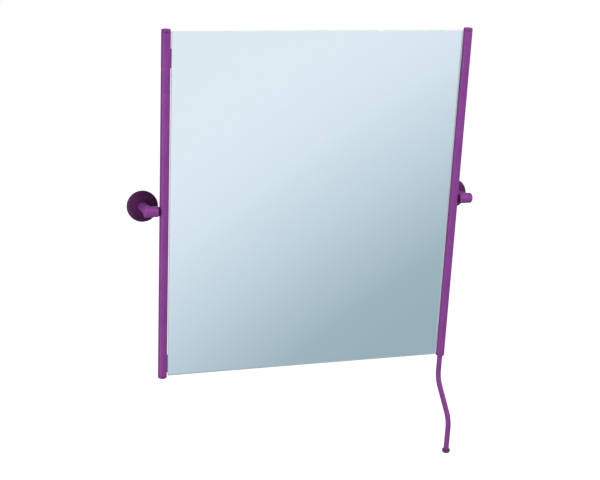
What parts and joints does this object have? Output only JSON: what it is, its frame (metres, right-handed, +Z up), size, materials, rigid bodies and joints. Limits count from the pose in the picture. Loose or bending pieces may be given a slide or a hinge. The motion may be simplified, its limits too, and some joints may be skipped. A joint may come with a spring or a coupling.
{
  "type": "tilting wall mirror",
  "caption": "Rectangular wall mirror held between coated tubes, tilting at mid height on wall arms, with a bent hand lever below.",
  "frame": {"origin": "on the wall plane, midway between the two wall plates, at the height of the pivot axis", "axes": "+X to the right of someone facing the mirror, +Y into the wall, +Z up; the mirror faces -Y"},
  "size_m": [0.72, 0.1414, 0.8963],
  "materials": {
    "zinc_steel": "zinc plated",
    "plum_cover": "glossy darker plum plastic",
    "purple_coat": "glossy purple plastic coating over steel",
    "core_steel": "plain drawn steel",
    "screw_steel": "stainless",
    "washer_plastic": "matt, low friction",
    "bush_plastic": "black acetal",
    "black_plastic": "matt",
    "mirror_glass": "silvered float glass with polished edges",
    "grey_film": "matt safety film over the protective paint",
    "clear_pad": "soft bonding pad, translucent grey"
  },
  "bodies": {
    "wall_brackets": {"left_wall_plate": "zinc_steel", "right_wall_plate": "zinc_steel", "left_rose": "plum_cover", "right_rose": "plum_cover", "left_arm": "purple_coat", "right_arm": "purple_coat", "left_arm_core": "core_steel", "right_arm_core": "core_steel", "left_pivot_screw": "screw_steel", "right_pivot_screw": "screw_steel", "disc_springs": "screw_steel", "friction_washers": "washer_plastic"},
    "mirror_frame": {"left_tube": "purple_coat", "right_tube": "purple_coat", "left_tube_core": "core_steel", "right_tube_core": "core_steel", "left_pivot_bush": "bush_plastic", "right_pivot_bush": "bush_plastic", "left_pivot_collar": "black_plastic", "right_pivot_collar": "black_plastic", "left_pivot_cover": "purple_coat", "right_pivot_cover": "purple_coat", "left_top_cap": "purple_coat", "right_top_cap": "purple_coat", "left_bottom_cap": "purple_coat", "lever_socket": "purple_coat", "mirror_glass": "mirror_glass", "safety_film": "grey_film", "upper_left_clip": "purple_coat", "upper_right_clip": "purple_coat", "lower_left_clip": "purple_coat", "lower_right_clip": "purple_coat", "clip_pads": "clear_pad", "clip_screws": "screw_steel", "lever_rod": "purple_coat", "lever_knob": "purple_coat", "lever_set_screw": "screw_steel"}
  },
  "joints": [
    {"name": "mirror_tilt", "type": "hinge", "parent": "wall_brackets", "child": "mirror_frame", "pos_m": [0, -0.078, 0], "axis": [1, 0, 0], "range_deg": [-19, 1]}
  ]
}
